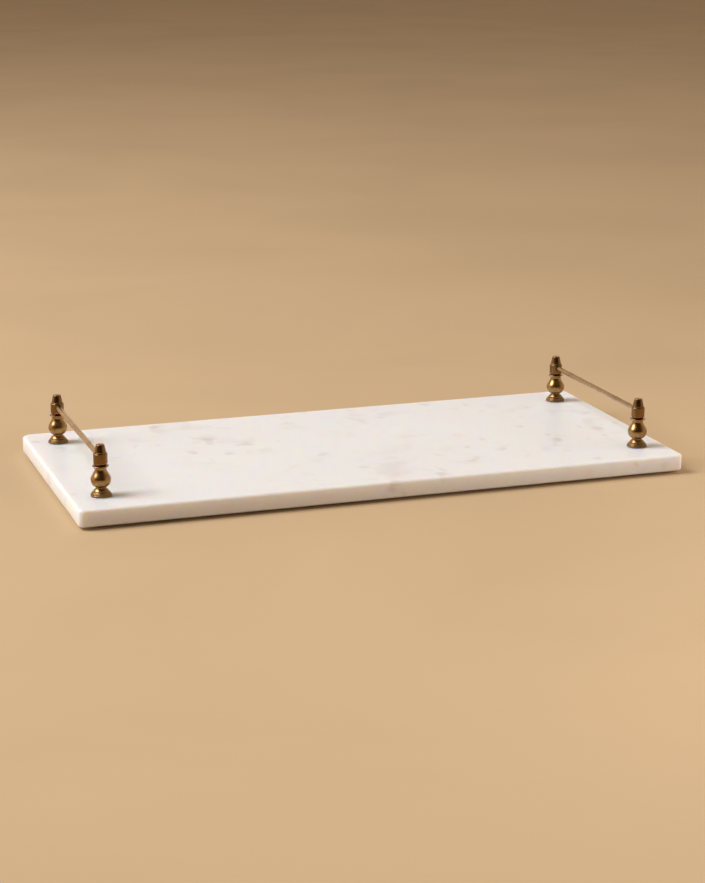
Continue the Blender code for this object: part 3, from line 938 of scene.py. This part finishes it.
# A lamp is its place, what it aims at, its size in metres, its power in watts, its colour, and whether
# it is mirrored. One that isn't lights the tray without showing in the brass or the polish.
Lamp = namedtuple("Lamp", "place aim size power colour mirrored")
LAMPS = {
    "key": Lamp((-2.25, 0.50, 2.65), (0.0, 0.0, 0.0), (1.7, 2.3), 123.0, (0.985, 0.985, 1.0), True),
    "window": Lamp((-3.2, 0.1, 0.95), (0.0, 0.0, 0.0), (1.3, 1.3), 25.0, (0.81, 0.93, 1.0), False),
    "card": Lamp((0.52, -0.47, 0.2), (0.14, -0.1, 0.01), (1.0, 0.4), 2.35, (1.0, 0.97, 0.94), False),
}

# The room. Each wall is painted over those before it: the axis it faces, how far along that axis a
# direction points where the wall begins and where it is full, and its colour.
ROOM_COLOUR = (0.40, 0.29, 0.19)
WALLS = {
    "right": ("X", -0.1, 0.7, (0.80, 0.65, 0.51)),
    "far": ("Y", 0.3, 0.9, (0.84, 0.64, 0.45)),
    "left": ("X", -0.65, -0.9, (0.98, 0.90, 0.80)),
    "ceiling": ("Z", 0.15, 0.7, (0.32, 0.25, 0.19)),
}

# The room is dark in this direction, from the first dot product with it to the second.
UNLIT_SIDE = (-0.40, -0.89, 0.22)
UNLIT_RANGE = (0.05, 0.75)
UNLIT_COLOUR = (0.045, 0.026, 0.010)


def make_camera():
    data = bpy.data.cameras.new("camera")
    data.lens = CAMERA_LENS
    data.sensor_width = SENSOR_WIDTH
    data.clip_start = CAMERA_NEAREST
    camera = bpy.data.objects.new("camera", data)
    camera.location = CAMERA_PLACE
    camera.rotation_euler = (math.pi / 2 - CAMERA_DOWN, 0.0, CAMERA_TURN)
    bpy.context.scene.collection.objects.link(camera)
    bpy.context.scene.camera = camera


def make_floor():
    shape = bmesh.new()
    bmesh.ops.create_grid(shape, x_segments=FLOOR_SQUARES, y_segments=FLOOR_SQUARES, size=FLOOR_HALF_SIZE)
    mesh = bpy.data.meshes.new("floor")
    shape.to_mesh(mesh)
    shape.free()
    material, tree, shader, place = new_material("pale_floor")
    patches = between(tree, cloud(tree, place, FLOOR_PATCHES_A_METRE, 4.0, 0.5), *FLOOR_RANGE)
    darker = tuple(part * FLOOR_DARKER for part in FLOOR_COLOUR)
    set_inputs(tree, shader, Base_Color=tint(tree, patches, FLOOR_COLOUR, darker),
               Roughness=FLOOR_ROUGHNESS, Specular_IOR_Level=FLOOR_SPECULAR)
    mesh.materials.append(material)
    floor = bpy.data.objects.new("floor", mesh)
    bpy.context.scene.collection.objects.link(floor)


def make_lamps():
    """Soft rectangular lamps, out of the camera's sight."""
    for name, lamp in LAMPS.items():
        data = bpy.data.lights.new(name, "AREA")
        data.shape = "RECTANGLE"
        data.size, data.size_y = lamp.size
        data.energy = lamp.power
        data.color = lamp.colour
        made = bpy.data.objects.new(name, data)
        made.location = lamp.place
        made.rotation_euler = (Vector(lamp.aim) - Vector(lamp.place)).to_track_quat("-Z", "Y").to_euler()
        made.visible_camera = False
        made.visible_glossy = lamp.mirrored
        bpy.context.scene.collection.objects.link(made)


def make_world():
    """The room's light walls, and its unlit near side."""
    world = bpy.data.worlds.new("studio")
    world.use_nodes = True
    bpy.context.scene.world = world
    tree = world.node_tree
    direction = put(tree, "ShaderNodeTexCoord").outputs["Generated"]
    parts = put(tree, "ShaderNodeSeparateXYZ", {"Vector": direction}).outputs
    colour = ROOM_COLOUR
    for axis, begins, full, wall_colour in WALLS.values():
        colour = tint(tree, between(tree, parts[axis], begins, full), colour, wall_colour)
    towards = put(tree, "ShaderNodeVectorMath", {0: direction, 1: UNLIT_SIDE}, operation="DOT_PRODUCT")
    unlit = between(tree, towards.outputs["Value"], *UNLIT_RANGE)
    colour = tint(tree, unlit, colour, UNLIT_COLOUR)
    fill_in(tree, tree.nodes["Background"], {"Color": colour, "Strength": 1.0})


def make_studio():
    make_camera()
    make_floor()
    make_world()
    make_lamps()
    bpy.context.scene.view_settings.view_transform = "Standard"


make_slab()
make_turned_pieces()
make_rails()
make_studio()
